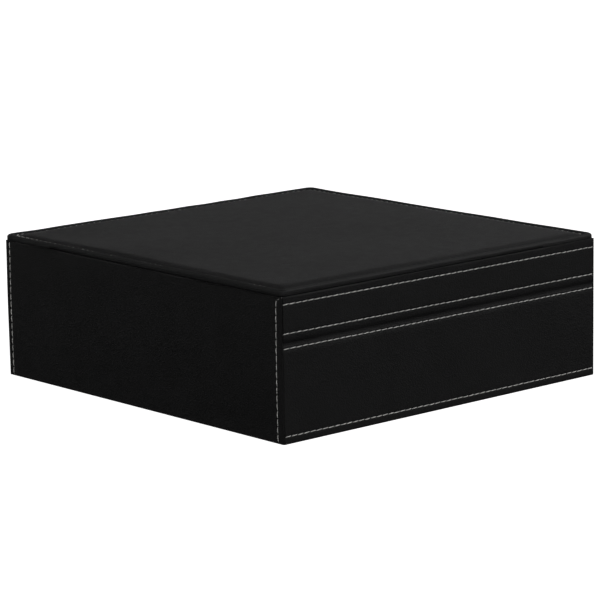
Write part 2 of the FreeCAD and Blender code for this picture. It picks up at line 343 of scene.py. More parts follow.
def make_piece(name, verts, faces, material, body=None, flat_angle=None):
    """New mesh piece from points in mm, smooth shaded, riding on a body."""
    mesh = bpy.data.meshes.new(name)
    mesh.from_pydata((np.asarray(verts, float) * MM).tolist(), [], faces)
    mesh.validate()
    mesh.materials.append(material)
    mesh.polygons.foreach_set("use_smooth", [True] * len(mesh.polygons))
    piece = bpy.data.objects.new(name, mesh)
    bpy.context.scene.collection.objects.link(piece)
    if flat_angle is not None:
        mesh.set_sharp_from_angle(angle=math.radians(flat_angle))
    if body is not None:
        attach(piece, body)
    return piece


def loft(sections, outward=True):
    """Points and faces of a closed bar through sections that all have the same number of points."""
    rows, count = len(sections), len(sections[0])
    verts = np.concatenate(sections)
    faces = []
    for i in range(rows - 1):
        for j in range(count):
            k = (j + 1) % count
            quad = [i * count + j, i * count + k, (i + 1) * count + k, (i + 1) * count + j]
            faces.append(quad if outward else quad[::-1])
    first = list(range(count))
    last = [(rows - 1) * count + j for j in range(count)]
    faces.append(first[::-1] if outward else first)
    faces.append(last if outward else last[::-1])
    return verts, faces


def arc(centre, radius, start, end, steps):
    """Points on an arc, angles in degrees."""
    angles = np.radians(np.linspace(start, end, steps))
    return [(centre[0] + radius * math.cos(a), centre[1] + radius * math.sin(a)) for a in angles]


def rounded(half_x, half_y, radius, turn_points, side_steps):
    """Points of a rounded rectangle, anticlockwise from its right near corner."""
    points = []
    corners = ((1, -1, -90), (1, 1, 0), (-1, 1, 90), (-1, -1, 180))
    for index, (sx, sy, start) in enumerate(corners):
        centre = np.array([sx * (half_x - radius), sy * (half_y - radius)])
        points += arc(centre, radius, start, start + 90, turn_points)
        nx, ny, _ = corners[(index + 1) % 4]
        a = np.radians(start + 90)
        turn = radius * np.array([math.cos(a), math.sin(a)])
        p, q = centre + turn, np.array([nx * (half_x - radius), ny * (half_y - radius)]) + turn
        points += [tuple(p + (q - p) * t) for t in np.linspace(0, 1, side_steps + 1)[1:-1]]
    return np.array(points)


def rounding(radius, degrees):
    """Distances from a rounded end, and how far its section is drawn in at each."""
    return [(radius * (1 - math.cos(a)), radius * (1 - math.sin(a))) for a in np.radians(degrees)]


def squeezed(outline, middle, share):
    """An outline drawn in towards its middle depth by a share, at the rounded end of a bar."""
    outline[:, 0] = middle + (outline[:, 0] - middle) * (1 - share)
    return outline


def placed(outline, x, y):
    """Points of a wall's section: x and y, with the heights of its outline."""
    return np.column_stack([np.zeros(len(outline)) + x, y, outline[:, 1]])


def lining_step(thick, middle, deep, z):
    """The edge of the leather turned in over a wall, where it falls back behind the lining."""
    return [(thick, z + 0.5), (middle, z), (deep, z - 1)]


def dense(low, high, step, rows=(), near=1.8, fine=0.3):
    """Places from low to high: step apart, and fine apart within near of a row of stitches."""
    marks = [low, high]
    z = low
    while z < high:
        gap = min([abs(z - r) for r in rows], default=near)
        z += fine if gap < near else step
        marks.append(min(z, high))
    return sorted(set(np.round(marks, 4)))


# ------------------------------ stitches


def stitch_mesh(start, end, out, local, verts, faces):
    """One stitch: a short two-ply cord that arches out of one hole and into the next."""
    rings, around = 9, 10
    along = end - start
    length = np.linalg.norm(along)
    along = along / length
    side = np.cross(out, along)
    side /= np.linalg.norm(side)
    up = np.cross(along, side)
    radius = THREAD_R * local.uniform(0.94, 1.06)
    twist = local.uniform(0, np.pi)
    lean = local.uniform(-0.12, 0.12)
    base = len(verts)
    for i in range(rings):
        t = i / (rings - 1)
        lift = radius * (ARCH * math.sin(math.pi * t) ** 0.5 - DIVE)
        sway = lean * math.sin(math.pi * t)
        centre = start + along * length * t + up * lift + side * sway
        middle = math.sin(math.pi * min(max(t, 0.02), 0.98)) ** 0.45
        size = radius * (END_SIZE + (1 - END_SIZE) * middle)
        for j in range(around):
            a = 2 * math.pi * j / around
            r = size * (1 + PLY_DEPTH * math.cos(2 * (a - twist - PLY_TURN * t)))
            verts.append(centre + side * (r * math.cos(a)) + up * (r * 0.9 * math.sin(a)))
    for i in range(rings - 1):
        for j in range(around):
            k = (j + 1) % around
            faces.append([base + i * around + j, base + i * around + k,
                          base + (i + 1) * around + k, base + (i + 1) * around + j])
    faces.append([base + j for j in range(around)][::-1])
    faces.append([base + (rings - 1) * around + j for j in range(around)])


def stitch_row(name, path, out, body, seed, closed=False):
    """A row of stitches along a path of points, with the surface's outward direction at each."""
    path, out = np.asarray(path, float), np.asarray(out, float)
    steps = np.linalg.norm(np.diff(path, axis=0), axis=1)
    length_at = np.concatenate([[0], np.cumsum(steps)])
    total = length_at[-1]
    count = int(total / PITCH) if closed else round(total / PITCH)
    pitch = total / count

    def at(s):
        point = np.array([np.interp(s, length_at, path[:, k]) for k in range(3)])
        normal = np.array([np.interp(s, length_at, out[:, k]) for k in range(3)])
        return point, normal / np.linalg.norm(normal)

    local = np.random.default_rng(seed)
    verts, faces = [], []
    gap = (1 - STITCH_SHARE) * pitch / 2
    for i in range(count):
        a, na = at(i * pitch + gap)
        b, nb = at((i + 1) * pitch - gap)
        normal = (na + nb) / np.linalg.norm(na + nb)
        side = np.cross(normal, (b - a) / np.linalg.norm(b - a))
        wander = local.uniform(-0.05, 0.05, 2)
        start, end = a + side * (wander[0] - STITCH_SLANT), b + side * (wander[1] + STITCH_SLANT)
        stitch_mesh(start, end, normal, local, verts, faces)
    make_piece(name, verts, faces, THREAD, body)


def level_row(name, xs, y, z, facing, body, seed):
    """A level row of stitches. facing is -1.0 across the front, 1.0 across the back."""
    path = np.column_stack([xs, np.broadcast_to(y, xs.shape), np.full(len(xs), z)])
    stitch_row(name, path, np.tile([0.0, facing, 0.0], (len(xs), 1)), body, seed)


# ------------------------------ front: panel, crease and flap

FRONT_ROWS = (ROW_1, ROW_2, ROW_3, ROW_4)
FRONT_DEPTH = 0.1           # the flat of the leather lies this far behind the front plane
FRONT_ROUND = 0.5           # radius of the outer top edge
CREASE_DEPTH = 0.42
GROOVE_Z = CREASE_Z - 1.7   # the groove that shows, a little below the fold line
CREASE_BACK = 2.5           # thickness left at the crease, from the front face
FLAP_SIDE_GAP = BASE_HIGH[0] - FLAP_HIGH[0]


def front_waves(x, z):
    """Unevenness of the front."""
    return waves(x, z, 11, 90.0, 0.07)


def front_face(z, x):
    """How far the front surface lies behind the front plane, at heights z and places x."""
    depth = CREASE_DEPTH * bell(z - GROOVE_Z, 2.0) + 0.2 * bell(z - GROOVE_Z, 3.2)
    for row in FRONT_ROWS:
        depth = depth + dimple(z - row, x - ROW_START)
    return depth + FRONT_DEPTH + front_waves(x, z)


def crease_share(z):
    """1 at the crease, 0 away from it: how far the inside is drawn forwards there."""
    return math.exp(-(((z - CREASE_Z) / 3.6) ** 4))


def front_section(x, inset):
    """Closed outline of the front at one place across it, drawn in by inset at the ends."""
    heights = dense(0.4, TOP_Z - FRONT_ROUND, 1.6, FRONT_ROWS + (CREASE_Z,))
    outer = list(zip(front_face(np.array(heights), x), heights))
    top = arc((FRONT_DEPTH + FRONT_ROUND, TOP_Z - FRONT_ROUND), FRONT_ROUND, 180, 90, 7)[1:]
    top += arc((PANEL - INNER_R, TOP_Z - INNER_R), INNER_R, 90, 0, 5)
    deep = PANEL - RECESS
    turn = lining_step(PANEL, PANEL - 0.35, deep, FLAP_TURN_Z)
    levels = np.arange(FLAP_TURN_Z - 3, 6.0, -2.2)
    inner = [(deep - (deep - CREASE_BACK) * crease_share(z), z) for z in levels]
    foot = [(deep, 5.0), (deep, 1.0), (1.3, 1.0), (1.0, 0.5), (0.7, 0.0), (0.35, 0.03), (0.16, 0.16)]
    return squeezed(np.array(outer + top + turn + inner + foot), PANEL / 2, inset / (PANEL / 2))


def bar_places(low, high, step, end_r):
    """Places along a bar and the inset of its section at each, for rounded ends."""
    away, drawn = zip(*rounding(end_r, np.linspace(0, 90, 6)))
    count = max(2, int((high - low - 2 * end_r) / step))
    between = np.linspace(low + end_r, high - end_r, count + 1)[1:-1]
    places = [low + d for d in away] + list(between) + [high - d for d in away[::-1]]
    return places, list(drawn) + [0.0] * len(between) + list(drawn[::-1])


def make_front():
    """Leather over the lower front, across the crease and round the flap, in one piece."""
    places, insets = bar_places(FLAP_LOW[0], FLAP_HIGH[0], PITCH / 7, 0.9)
    sections = []
    for x, inset in zip(places, insets):
        outline = front_section(x, inset)
        below = 1 / (1 + np.exp((outline[:, 1] - CREASE_Z + 3.5) / 0.5))
        across = x * (1 + below * (FLAP_SIDE_GAP - 0.02) / FLAP_HIGH[0])
        sections.append(raised(placed(outline, across, -HALF_D + outline[:, 0])))
    verts, faces = loft(sections, outward=False)
    piece = make_piece("front_leather", verts, faces, LEATHER, flat_angle=50)
    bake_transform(piece)
    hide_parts("front_panel_cover", "front_crease_leather", "flap_cover")


def front_rows():
    """Rows of stitches on the front."""
    xs = np.linspace(ROW_START, -ROW_START, 300)
    names = ("flap_top", "flap_crease", "panel_crease", "panel_hem")
    for index, (name, row) in enumerate(zip(names, FRONT_ROWS)):
        depth = 0.28 + front_waves(xs, np.full(len(xs), row))
        if name.endswith("crease"):
            depth = depth + 0.05
        body = "front_flap" if row > CREASE_Z else "tray"
        level_row("stitches_" + name, xs, -HALF_D + depth, row, -1.0, body, 20 + index)


make_front()
front_rows()

# ------------------------------ side walls

SIDE_FRONT = SIDE_BOARD[0][1] - SKIN
BACK_INNER = SIDE_BOARD[1][1]
SIDE_DEPTH = 0.25           # the foot and top of the leather lie this far behind the outer plane
SIDE_BULGE = 0.35           # and its middle stands this far out from there
SIDE_ROUND = 0.5            # radius of the outer top edge
SIDE_END = 0.45             # radius of the upright edges at both ends
NEAR_SEAM_Y = -HALF_D + SIDE_SEAM
FAR_SEAM_Y = HALF_D - SIDE_SEAM + 0.5


def seam_path(label):
    """An upright seam as offsets along the wall and heights. The near one turns at the top."""
    top = TOP_Z - (3.0 if label == "near" else 0.9)
    low = np.arange(1.0, top, 0.8)
    path = np.column_stack([np.zeros(len(low)), low])
    if label == "near":
        bend = [(-1.2, 1.3), (-2.9, 2.1), (-4.5, 2.8), (-5.5, 3.3)]
        path = np.vstack([path, [(y, low[-1] + z) for y, z in bend]])
    return path


def seam_pitch(label):
    """Stitch length of an upright seam."""
    return fitted(np.linalg.norm(np.diff(seam_path(label), axis=0), axis=1).sum())


def end_roll(past_seam):
    """How far the leather falls back between the near seam and the end of the wall."""
    return 0.5 * (past_seam / 5.6) ** 2


def side_face(y, z):
    """How far the outer surface of a side wall lies behind its plane."""
    bulge = -SIDE_BULGE * np.sin(np.pi * np.clip(z / TOP_Z, 0, 1)) * np.ones_like(y)
    depth = SIDE_DEPTH + bulge + waves(y, z, 31, 80.0, 0.08)
    for seam, pitch in ((NEAR_SEAM_Y, NEAR_PITCH), (FAR_SEAM_Y, FAR_PITCH)):
        depth = depth + dimple(y - seam, z - 1.0, pitch=pitch)
    return depth + end_roll(np.clip(NEAR_SEAM_Y - y, 0, 9))


NEAR_PITCH, FAR_PITCH = seam_pitch("near"), seam_pitch("far")


def side_section(y, inset):
    """Closed outline of a side wall at one place along it: depth from the outer plane, height."""
    wing = y < SIDE_FRONT - 0.01 or y > BACK_INNER + 0.01
    thick = SKIN if wing else PANEL
    recess = 0.0 if wing else RECESS
    heights = np.linspace(0.4, TOP_Z - SIDE_ROUND, 128)
    depths = side_face(np.full(len(heights), y), heights)
    outer = list(zip(depths, heights))
    reach = min(SIDE_ROUND, thick - SIDE_DEPTH)
    last = math.degrees(math.acos(1 - reach / SIDE_ROUND))
    over = [(SIDE_DEPTH + SIDE_ROUND * (1 - math.cos(a)), TOP_Z - SIDE_ROUND + SIDE_ROUND * math.sin(a))
            for a in np.radians(np.linspace(0, last, 9)[1:])]
    over = [(min(d, thick - 0.15), z) for d, z in over]
    inner_r = 0.12 if wing else INNER_R
    top = over[-1][1]
    down = arc((thick - inner_r, top - inner_r), inner_r, 90, 0, 5)
    deep = thick - recess
    turn = lining_step(thick, thick - 0.6 * recess, deep, WALL_TURN_Z) + [(deep, 1.0)]
    foot = [(SKIN + 0.02, 1.0), (SKIN, 0.5), (0.8, 0.0), (0.5, 0.03), (0.3, 0.16)]
    return squeezed(np.array(outer + over + down + turn + foot), thick / 2, inset / (thick / 2))


def make_side(side, name):
    """Leather of one side wall, with the wings at its ends. side is -1 for left, 1 for right."""
    low, high = WALL_LOW[1], WALL_HIGH[1]
    places = dense(low + SIDE_END, high - SIDE_END, 1.6, (NEAR_SEAM_Y, FAR_SEAM_Y))
    places = [p for p in places if min(abs(p - SIDE_FRONT), abs(p - BACK_INNER)) > 0.12]
    places = sorted(places + [SIDE_FRONT - 0.1, SIDE_FRONT, BACK_INNER, BACK_INNER + 0.1])
    ends = [(low + d, inset) for d, inset in rounding(SIDE_END, [0, 30, 60])]
    steps = ends + [(y, 0.0) for y in places] + [(low + high - y, inset) for y, inset in ends[::-1]]
    sections = []
    for y, inset in steps:
        outline = side_section(y, inset)
        sections.append(raised(placed(outline, side * (HALF_W - outline[:, 0]), np.full(len(outline), y))))
    verts, faces = loft(sections, outward=side < 0)
    piece = make_piece(name + "_wall_leather", verts, faces, LEATHER, "tray", flat_angle=50)
    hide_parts(name + "_wall_cover")


def side_seams(side, name):
    """Upright seams of a side wall."""
    for label, seam, seed in (("near", NEAR_SEAM_Y, 40), ("far", FAR_SEAM_Y, 41)):
        offset, height = seam_path(label).T
        over = np.clip(height - TOP_Z + SIDE_ROUND, 0, SIDE_ROUND * 0.9)
        beside = np.full(len(height), seam + 6.0)       # where the seam doesn't pull the leather in
        depth = side_face(beside, height) + 0.2
        depth = depth + SIDE_ROUND - np.sqrt(SIDE_ROUND ** 2 - over ** 2) + end_roll(np.abs(offset))
        path = np.column_stack([side * (HALF_W - depth), seam + offset, height])
        out = np.column_stack([np.full(len(over), float(side)), 0.05 * offset, over / SIDE_ROUND])
        stitch_row(f"stitches_{name}_{label}", raised(path), out, "tray", seed + (5 if side > 0 else 0))


for side, name in ((-1, "left"), (1, "right")):
    make_side(side, name)
    side_seams(side, name)

# ------------------------------ back wall and the lid's hinge strip

BACK_FACE = BACK_HIGH[1]
BACK_MARGIN = 1             # the rows stop this far from the ends of the back wall
BACK_PITCH = fitted(BACK_HIGH[0] - BACK_LOW[0] - 2 * BACK_MARGIN)
STRIP_LOW = HINGE_LOW[2]
STRIP_END_Z = LID_HIGH[2] - 1.5
STRIP_ROWS = (STRIP_LOW + 4.5, WALL_TOP - 4.5)
STRIP_HALF = HALF_W - 3.6
STRIP_MARGIN = 0.5          # and this far from the ends of the strip
STRIP_PITCH = fitted(2 * STRIP_HALF - 2 * STRIP_MARGIN)
FOLD_Z = (WALL_TOP + LID_LOW[2]) / 2


def back_section(x, inset):
    """Closed outline of the back wall at one place across it: depth from its face, height."""
    heights = np.array(dense(0.7, TOP_Z - 1.0, 1.8, (ROW_4,)))
    hem = dimple(heights - ROW_4, x - BACK_LOW[0] - BACK_MARGIN, pitch=BACK_PITCH)
    outer = list(zip(0.12 + hem + waves(x, heights, 51, 90.0, 0.06), heights))
    top = arc((1.0, TOP_Z - 0.9), 0.9, 180, 90, 5)[1:]
    top += arc((PANEL - INNER_R, TOP_Z - INNER_R), INNER_R, 90, 0, 5)
    deep = PANEL - RECESS
    turn = lining_step(PANEL, PANEL - 0.35, deep, WALL_TURN_Z) + [(deep, 1.0)]
    foot = [(1.3, 1.0), (1.0, 0.5), (0.8, 0.0), (0.45, 0.1), (0.2, 0.35)]
    return squeezed(np.array(outer + top + turn + foot), PANEL / 2, inset / (PANEL / 2))


def make_back():
    """Leather of the back wall, between the two wings."""
    places, insets = bar_places(BACK_LOW[0] + 0.15, BACK_HIGH[0] - 0.15, PITCH / 6, 0.8)
    sections = []
    for x, inset in zip(places, insets):
        outline = back_section(x, inset)
        sections.append(raised(placed(outline, x, BACK_FACE - outline[:, 0])))
    verts, faces = loft(sections)
    piece = make_piece("back_wall_leather", verts, faces, LEATHER, "tray", flat_angle=50)
    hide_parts("back_wall_cover")
    xs = np.linspace(BACK_LOW[0] + BACK_MARGIN, BACK_HIGH[0] - BACK_MARGIN, 300)
    level_row("stitches_back_hem", xs, BACK_FACE - 0.3, ROW_4, 1.0, "tray", 55)


def make_hinge_strip():
    """Leather strip sewn across the back and glued up the back edge of the lid."""
    thick = HINGE_HIGH[1] - HINGE_LOW[1]
    places, insets = bar_places(-STRIP_HALF, STRIP_HALF, PITCH / 6, 0.3)
    heights = np.array(dense(STRIP_LOW + 0.3, STRIP_END_Z - 0.3, 1.2, STRIP_ROWS + (FOLD_Z,), 1.6))
    inner = [(thick, z) for z in heights[::-1]]
    sections = []
    for x, inset in zip(places, insets):
        depth = 0.05 + waves(x, heights, 57, 70.0, 0.03)
        for row in STRIP_ROWS:
            depth = depth + 0.7 * dimple(heights - row, x + STRIP_HALF - STRIP_MARGIN, pitch=STRIP_PITCH)
        depth = depth + 0.22 * bell(heights - FOLD_Z, 0.9)
        outline = np.array([(0.3, STRIP_LOW)] + list(zip(depth, heights)) + [(0.3, STRIP_END_Z)]
                           + [(thick - 0.1, STRIP_END_Z)] + inner + [(thick - 0.1, STRIP_LOW)])
        outline = squeezed(outline, thick / 2, inset / (thick / 2))
        sections.append(placed(outline, x, HALF_D - outline[:, 0]))
    verts, faces = loft(sections)
    piece = make_piece("lid_hinge_strip", verts, faces, LEATHER, flat_angle=50)
    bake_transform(piece)
    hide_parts("lid_hinge_leather")
    xs = np.linspace(-STRIP_HALF + STRIP_MARGIN, STRIP_HALF - STRIP_MARGIN, 300)
    for index, name in enumerate(("low", "high")):
        level_row("stitches_strip_" + name, xs, HALF_D - 0.2, STRIP_ROWS[index], 1.0, "tray", 58 + index)


make_back()
make_hinge_strip()

# ------------------------------ lid

LID_CORNER = 5.0            # radius of the lid's corners in plan
LIP = 0.75                  # the edge hangs this far below the underside
CREST = 1.9                 # inset of the highest line of the rim, and the radius of its edge
RIM_Z = LID_LOW[2] + 3.9
DIP_Z = RIM_Z - 1.1         # at the seam
PAD_RISE = 1.15             # from the seam to the padding
PAD_RUN = 9.5               # over this width
CROWN = 0.25                # rise of the padding in the middle of the lid
TUCK = 9.5                  # inset up to which the underside follows the gap under the lid
LID_CHANNEL = (0.16, 0.8)   # depth and width of the channel of its seam


def ring(inset, radius):
    """Points of a rounded rectangle at an inset from the lid's outline."""
    half_x, half_y = HALF_W - inset, HALF_D - inset
    return rounded(half_x, half_y, min(radius, half_x - 0.2, half_y - 0.2), 26, 306)


def ring_lengths(points):
    """Distance round a closed ring at each of its points, and the whole length."""
    steps = np.linalg.norm(np.diff(np.vstack([points, points[:1]]), axis=0), axis=1)
    return np.concatenate([[0], np.cumsum(steps)[:-1]]), steps.sum()


SEAM_RING = ring(LID_SEAM, LID_CORNER)
SEAM_AT, SEAM_TOTAL = ring_lengths(SEAM_RING)
SEAM_PHASE = SEAM_AT / SEAM_TOTAL * int(SEAM_TOTAL / PITCH) * PITCH     # a whole number of stitches


def lid_height(points, inset):
    """Height of the lid's top surface over a ring of points at an inset from its edge."""
    x, y = points[:, 0], points[:, 1]
    if inset < CREST:
        base = RIM_Z
    elif inset < LID_SEAM:
        t = (inset - CREST) / (LID_SEAM - CREST)
        base = RIM_Z + (DIP_Z - RIM_Z) * t * t * (3 - 2 * t)
    else:
        t = min(1.0, (inset - LID_SEAM) / PAD_RUN)
        base = DIP_Z + PAD_RISE * (1 - (1 - t) ** 2)
    to_corner = np.hypot(np.abs(x) - HALF_W, np.abs(y) - HALF_D)
    edge = bell(inset, 9.0)
    lift = 0.3 * bell(to_corner, 16.0) * edge
    rim_waves = waves(x, y, 61, 60.0, 0.16) * edge
    pad_waves = waves(x, y, 62, 110.0, 0.16) * (1 - edge)
    crown = CROWN * (1 - (x / HALF_W) ** 2) * (1 - (y / HALF_D) ** 2) * (1 - edge)
    pull = dimple(np.full(len(points), inset - LID_SEAM), SEAM_PHASE, *LID_CHANNEL)
    pucker = 0.07 * bell(inset - LID_SEAM - 2.6, 2.0) * np.cos(2 * np.pi * SEAM_PHASE / PITCH)
    return base + lift + rim_waves + pad_waves + crown - pull - pucker + rise(x, y)


def lid_rings():
    """Rings of the lid's leather from under its lining, round the edge and in to the middle."""
    rings = []

    def flat(inset, z):
        """A ring of the underside, raised with the gap but kept below the board."""
        points = ring(inset, LID_CORNER)
        lift = gap_rise(points[:, 0], points[:, 1]) * np.clip((TUCK - inset) / 5.5, 0, 1)
        rings.append(np.column_stack([points, np.minimum(z + lift, max(z, LID_LOW[2] + 0.6))]))

    turn = HALF_W - LID_LINING[1][0]
    for inset, up in ((turn + 2, 0.5), (turn + 1.0, 0.5), (turn + 0.4, 0.3), (turn - 0.2, 0.02),
                      (turn - 1.5, 0.0), (5.5, 0.0), (4.4, -0.7 * LIP), (3.4, -LIP), (0.8, -LIP),
                      (0.4, 0.06 - LIP), (0.18, 0.17 - LIP), (0.05, 0.38 - LIP), (0.0, 0.7 - LIP)):
        flat(inset, LID_LOW[2] + up)
    for a in np.radians(np.linspace(8, 78, 7)):
        inset = CREST * (1 - math.cos(a))
        points = ring(inset, LID_CORNER)
        z = lid_height(points, inset) - CREST * (1 - math.sin(a))
        rings.append(np.column_stack([points, z]))
    spans = ((CREST, LID_SEAM - 1.2, 0.45), (LID_SEAM - 1.2, LID_SEAM + 1.25, 0.24),
             (LID_SEAM + 1.6, LID_SEAM + 9, 0.8), (LID_SEAM + 9.6, 32, 2.2), (34, HALF_W - 1, 5.0))
    for inset in np.concatenate([np.arange(*steps) for steps in spans]):
        points = ring(inset, LID_CORNER + 0.6 * max(0.0, inset - LID_SEAM))
        rings.append(np.column_stack([points, lid_height(points, inset)]))
    return rings


def make_lid():
    """Padded leather lid, its turned-in underside and the seam round its top."""
    rings = lid_rings()
    back_stop = HALF_D - (HINGE_HIGH[1] - HINGE_LOW[1]) - 0.05
    for points in rings:
        points[:, 1] = np.minimum(points[:, 1], back_stop)
    verts, faces = loft(rings)
    piece = make_piece("lid_padded_leather", verts, faces, LEATHER, "lid", flat_angle=60)
    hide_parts("lid_cover", "lid_foam")
    # the thread lies low in its channel, but higher along the left, most of all at the far end
    left = np.clip((-SEAM_RING[:, 0] - HALF_W + 12) / 6, 0, 1)
    far = 0.5 + SEAM_RING[:, 1] / (2 * HALF_D)
    unpulled = lid_height(SEAM_RING, LID_SEAM) + dimple(np.zeros(len(SEAM_RING)), SEAM_PHASE, *LID_CHANNEL)
    seam = np.column_stack([SEAM_RING, unpulled + (-0.3 + left * (0.1 + 0.32 * far ** 4))])
    seam = np.vstack([seam, seam[:1]])
    stitch_row("stitches_lid", seam, np.tile([0.0, 0.0, 1.0], (len(seam), 1)), "lid", 64, closed=True)


make_lid()

# ------------------------------ linings and underside


def soft_sheet(name, origin, a_dir, b_dir, n_dir, half_a, half_b, thick, material, body,
               corner=2.0, seed=0, wave=0.06, bumps=()):
    """Thin soft sheet with rounded edges. origin is the middle of its hidden side, n_dir points out of it.

    Each of bumps is a place in the sheet, a radius and a height.
    """
    edge = 0.3
    a_dir, b_dir, n_dir = (np.array(v, float) for v in (a_dir, b_dir, n_dir))
    if np.dot(np.cross(a_dir, b_dir), n_dir) < 0:
        a_dir = -a_dir

    levels = [(0.0, 0.0), (0.0, thick - edge)]
    levels += [(edge * (1 - math.cos(t)), thick - edge * (1 - math.sin(t))) for t in (0.5, 1.05)]
    levels += [(i, thick) for i in (edge, 1.2, 3.0, 6.0)]
    levels += [(i, thick) for i in np.arange(10.0, min(half_a, half_b) - 0.5, 4.5)]
    sections = []
    for inset, level in levels:
        plan = rounded(half_a - inset, half_b - inset, max(corner - inset, 0.15), 6, 48)
        height = np.full(len(plan), level)
        if inset > 0.5:
            height = height + waves(plan[:, 0], plan[:, 1], seed, 70.0, wave) * min(1.0, inset / 6.0) - 0.02
            for a, b, radius, stand in bumps:
                away = np.hypot(plan[:, 0] - a, plan[:, 1] - b)
                height = height + stand / (1 + np.exp((away - radius) / 0.8))
        sections.append(np.array(origin) + np.outer(plan[:, 0], a_dir) + np.outer(plan[:, 1], b_dir)
                        + np.outer(height, n_dir))
    verts, faces = loft(sections)
    return make_piece(name, verts, faces, material, body, flat_angle=50)


def make_linings():
    """Suede inside the tray and under the lid, and the leather under the box."""
    x, y, z = np.eye(3)
    middle = (FLOOR_LOW + FLOOR_HIGH) / 2
    floor_sheet = soft_sheet("floor_suede", (middle[0], middle[1], FLOOR_LOW[2]), x, y, z,
                             (FLOOR_HIGH[0] - FLOOR_LOW[0]) / 2, (FLOOR_HIGH[1] - FLOOR_LOW[1]) / 2,
                             FLOOR_HIGH[2] - FLOOR_LOW[2], SUEDE_BLACK, "tray", seed=71)
    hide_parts("floor_lining")
    for side, name in ((-1, "left"), (1, "right")):
        low, high = span(name + "_wall_lining")
        middle = (low + high) / 2
        hidden = low[0] if side < 0 else high[0]
        sheet = soft_sheet(name + "_wall_suede", (hidden, middle[1], middle[2]), y, z, -side * x,
                           (high[1] - low[1]) / 2, (high[2] - low[2]) / 2, high[0] - low[0],
                           SUEDE_BLACK, "tray", seed=72 + side)
        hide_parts(name + "_wall_lining")
    low, high = BACK_LINING
    sheet = soft_sheet("back_wall_suede", (0, high[1], (low[2] + high[2]) / 2), x, z, -y, FLOOR_HIGH[0],
                       (high[2] - low[2]) / 2, high[1] - low[1], SUEDE_BLACK, "tray", seed=75)
    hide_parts("back_wall_lining")
    low, high = LID_LINING
    magnet_low, magnet_high = span("lid_magnets")
    magnet_r = (magnet_high[1] - magnet_low[1]) / 2
    magnet_x, magnet_y = magnet_high[0] - magnet_r, magnet_low[1] + magnet_r
    spots = [(side * magnet_x, magnet_y, magnet_r, 0.22) for side in (-1, 1)]
    sheet = soft_sheet("lid_suede", (0, 0, high[2] - 0.1), x, y, -z, high[0], high[1], high[2] - low[2] - 0.1,
                       SUEDE_BLACK, "lid", corner=4.0, seed=76, bumps=spots)
    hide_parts("lid_lining")
    low, high = BASE_LOW, BASE_HIGH
    sheet = soft_sheet("bottom_leather", (0, (low[1] + high[1]) / 2, high[2]), x, y, -z, high[0] - 0.3,
                       (high[1] - low[1]) / 2 - 0.2, high[2] - low[2], LEATHER_BASE, "tray",
                       corner=1.0, seed=77, wave=0.02)
    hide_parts("bottom_cover")


def make_front_lining():
    """Suede inside the front, running over the crease and up the flap."""
    half = FLOOR_HIGH[0] - 0.2
    low, high = FLOOR_HIGH[2] - 3.0, FLAP_TURN_Z
    places, insets = bar_places(-half, half, 3.0, 0.3)
    thick = FRONT_LINING[1][1] - FRONT_LINING[0][1]
    heights = dense(low, high - 0.3, 2.5, (CREASE_Z,), 7.0, 0.6)

    def face(z):
        """Depth of the lining's seen side."""
        return PANEL - (PANEL - CREASE_BACK - 0.45) * crease_share(z)

    behind = [(face(z) - thick + 0.02, z) for z in heights[::-1]]
    sections = []
    for x, inset in zip(places, insets):
        seen = [(face(z) + float(waves(x, z, 81, 60.0, 0.05)) * 0.5 - 0.02, z) for z in heights]
        outline = np.array(seen + [(PANEL - 0.25, high), (PANEL - thick, high)] + behind)
        outline = squeezed(outline, PANEL - thick / 2, inset / (thick / 2) * 0.9)
        sections.append(placed(outline, x, -HALF_D + outline[:, 0]))
    verts, faces = loft(sections)
    piece = make_piece("front_suede", verts, faces, SUEDE_BLACK, flat_angle=50)
    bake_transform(piece)
    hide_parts("front_panel_lining", "flap_lining")


make_linings()
make_front_lining()

# ------------------------------ lane partitions and card dividers


def drawn_in(outline, inset):
    """A closed outline moved inwards by inset along its own normals."""
    before, after = np.roll(outline, 1, axis=0), np.roll(outline, -1, axis=0)
    tangent = after - before
    tangent /= np.linalg.norm(tangent, axis=1)[:, None]
    normal = np.column_stack([-tangent[:, 1], tangent[:, 0]])
    return outline + normal * inset


def flat_part(name, outline, axis, low, high, edge, material, body):
    """Plate with rounded edges: an anticlockwise outline in the two other axes, between two levels."""
    levels = [(low + d, inset) for d, inset in rounding(edge, [0, 25, 50, 75, 90])]
    levels += [(low + high - level, inset) for level, inset in levels[::-1]]
    sections = []
    for level, inset in levels:
        plan = drawn_in(outline, inset)
        column = np.full(len(plan), level)
        parts = [column, plan[:, 0], plan[:, 1]] if axis == "x" else [plan[:, 0], column, plan[:, 1]]
        sections.append(np.column_stack(parts))
    verts, faces = loft(sections, outward=axis == "x")
    return make_piece(name, verts, faces, material, body, flat_angle=50)


def make_partitions():
    """Suede-covered walls between the lanes, swept away at the front."""
    nose, heel = 26.0, 1.5      # radii of the front and back top corners
    for index in range(1, 4):
        low, high = span(f"lane_partition_{index}")
        outline = [(low[1], low[2]), (high[1], low[2]), (high[1], high[2] - heel)]
        outline += arc((high[1] - heel, high[2] - heel), heel, 0, 90, 5)[1:]
        outline += [(y, high[2]) for y in np.linspace(high[1] - 20, low[1] + nose + 20, 12)]
        outline += arc((low[1] + nose, high[2] - nose), nose, 90, 180, 20)
        piece = flat_part(f"lane_partition_suede_{index}", np.array(outline), "x", low[0], high[0], 0.9,
                          SUEDE_BLACK, "tray")
        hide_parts(f"lane_partition_{index}")


